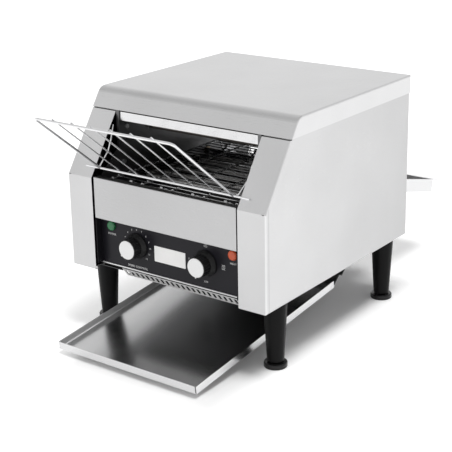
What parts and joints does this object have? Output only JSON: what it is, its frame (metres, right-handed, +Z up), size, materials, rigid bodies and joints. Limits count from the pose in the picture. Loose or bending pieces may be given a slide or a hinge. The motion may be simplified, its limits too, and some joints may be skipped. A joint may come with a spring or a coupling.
{
  "type": "conveyor toaster",
  "caption": "Counter-top conveyor toaster with wire belt, front loading rack, control knobs, return slide with front toast tray and a rear tray, on adjustable legs.",
  "frame": {"origin": "on the table, under the middle of the whole machine with its rack and trays", "axes": "+Z up, +X to the right seen from the front, +Y from the front to the back"},
  "size_m": [0.3784, 0.7695, 0.3826],
  "materials": {
    "stainless": "fine brushed stainless steel sheet",
    "bright_steel": "bright stainless sheet",
    "mirror_steel": "polished stainless sheet and wire",
    "wire": "drawn stainless wire",
    "galvanised": "plain zinc-coated sheet",
    "panel": "near black enamel",
    "plate": "bare white plate",
    "trim": "bright strip",
    "knob": "black moulded plastic",
    "cap": "spun aluminium disc",
    "steel": "turned steel",
    "green_lens": "green lens",
    "red_lens": "red lens",
    "element": "oxidised heating tube",
    "insulator": "pale fired insulator",
    "brass": "sintered bush",
    "casting": "cast alloy",
    "motor": "dark enamel",
    "inner_plastic": "black moulded plastic",
    "board": "circuit board",
    "block": "pale moulded plastic",
    "leg": "black moulded plastic",
    "foot": "smooth black plastic",
    "cable": "insulated wire"
  },
  "bodies": {
    "casing": {"apron": "stainless", "base_pan": "galvanised", "cable_gland": "inner_plastic", "control_board": "board", "control_panel": "panel", "control_trim": "trim", "conveyor_belt": "wire", "drive_chain": "steel", "element_insulators": "insulator", "element_supports": "bright_steel", "fan_frame": "inner_plastic", "gearbox": "casting", "heat_baffle": "galvanised", "heat_lamp": "red_lens", "inner_wall_left": "bright_steel", "inner_wall_right": "bright_steel", "leg_bolts": "steel", "legs": "leg", "lid": "stainless", "limit_thermostat": "inner_plastic", "lower_elements": "element", "lower_reflector": "bright_steel", "motor": "motor", "name_plate": "plate", "power_lamp": "green_lens", "rear_panel": "stainless", "return_slide": "stainless", "screws": "steel", "selector_switch": "inner_plastic", "shaft_bushes": "brass", "side_panel_left": "stainless", "side_panel_right": "stainless", "speed_control": "inner_plastic", "supply_wires": "cable", "terminal_block": "block", "tray_ledges": "galvanised", "upper_elements": "element", "upper_reflector": "bright_steel", "vent_strip": "bright_steel"},
    "drive_axle": {"drive_shaft": "steel", "drive_sprockets": "steel", "chain_wheel": "steel"},
    "idler_axle": {"idler_shaft": "steel", "idler_sprockets": "steel"},
    "motor_output": {"motor_shaft": "steel", "motor_sprocket": "steel"},
    "rotor": {"fan_rotor": "inner_plastic"},
    "speed_dial": {"speed_knob": "knob", "speed_knob_cap": "cap", "speed_spindle": "steel"},
    "selector_dial": {"selector_knob": "knob", "selector_knob_cap": "cap", "selector_spindle": "steel"},
    "rack": {"loading_rack": "wire"},
    "toast_tray": {"front_tray": "mirror_steel"},
    "back_tray": {"rear_tray": "mirror_steel"},
    "front_left_foot": {"foot_front_left": "foot"},
    "front_right_foot": {"foot_front_right": "foot"},
    "rear_left_foot": {"foot_rear_left": "foot"},
    "rear_right_foot": {"foot_rear_right": "foot"}
  },
  "joints": [
    {"name": "drive_turn", "type": "hinge", "parent": "casing", "child": "drive_axle", "pos_m": [0, 0.02975, 0.232], "axis": [1, 0, 0], "continuous": true},
    {"name": "idler_turn", "type": "hinge", "parent": "casing", "child": "idler_axle", "pos_m": [0, -0.22625, 0.232], "axis": [1, 0, 0], "continuous": true},
    {"name": "motor_turn", "type": "hinge", "parent": "casing", "child": "motor_output", "pos_m": [0.157, -0.04525, 0.15], "axis": [1, 0, 0], "continuous": true},
    {"name": "fan_turn", "type": "hinge", "parent": "casing", "child": "rotor", "pos_m": [-0.04, -0.10025, 0.12], "axis": [0, 0, 1], "continuous": true},
    {"name": "speed_setting", "type": "hinge", "parent": "casing", "child": "speed_dial", "pos_m": [-0.064, -0.24525, 0.156], "axis": [0, -1, 0], "range_deg": [-270, 0]},
    {"name": "selector_setting", "type": "hinge", "parent": "casing", "child": "selector_dial", "pos_m": [0.069, -0.24525, 0.156], "axis": [0, -1, 0], "range_deg": [-270, 0]},
    {"name": "rack_lift", "type": "slide", "parent": "casing", "child": "rack", "axis": [0, 0.5563, 0.831], "range_m": [0, 0.01]},
    {"name": "toast_tray_slide", "type": "slide", "parent": "casing", "child": "toast_tray", "axis": [0, -0.9952, -0.0976], "range_m": [0, 0.07]},
    {"name": "back_tray_slide", "type": "slide", "parent": "casing", "child": "back_tray", "axis": [0, 0.9681, -0.2504], "range_m": [0, 0.06]},
    {"name": "front_left_foot_turn", "type": "hinge", "parent": "casing", "child": "front_left_foot", "pos_m": [-0.165, -0.20475, 0.05], "axis": [0, 0, 1], "continuous": true},
    {"name": "front_right_foot_turn", "type": "hinge", "parent": "casing", "child": "front_right_foot", "pos_m": [0.165, -0.20475, 0.05], "axis": [0, 0, 1], "continuous": true},
    {"name": "rear_left_foot_turn", "type": "hinge", "parent": "casing", "child": "rear_left_foot", "pos_m": [-0.165, 0.11375, 0.05], "axis": [0, 0, 1], "continuous": true},
    {"name": "rear_right_foot_turn", "type": "hinge", "parent": "casing", "child": "rear_right_foot", "pos_m": [0.165, 0.11375, 0.05], "axis": [0, 0, 1], "continuous": true}
  ],
  "couplings": [
    {"joint": "idler_turn", "follows": "drive_turn", "ratio": 1},
    {"joint": "motor_turn", "follows": "drive_turn", "ratio": 1.5}
  ]
}
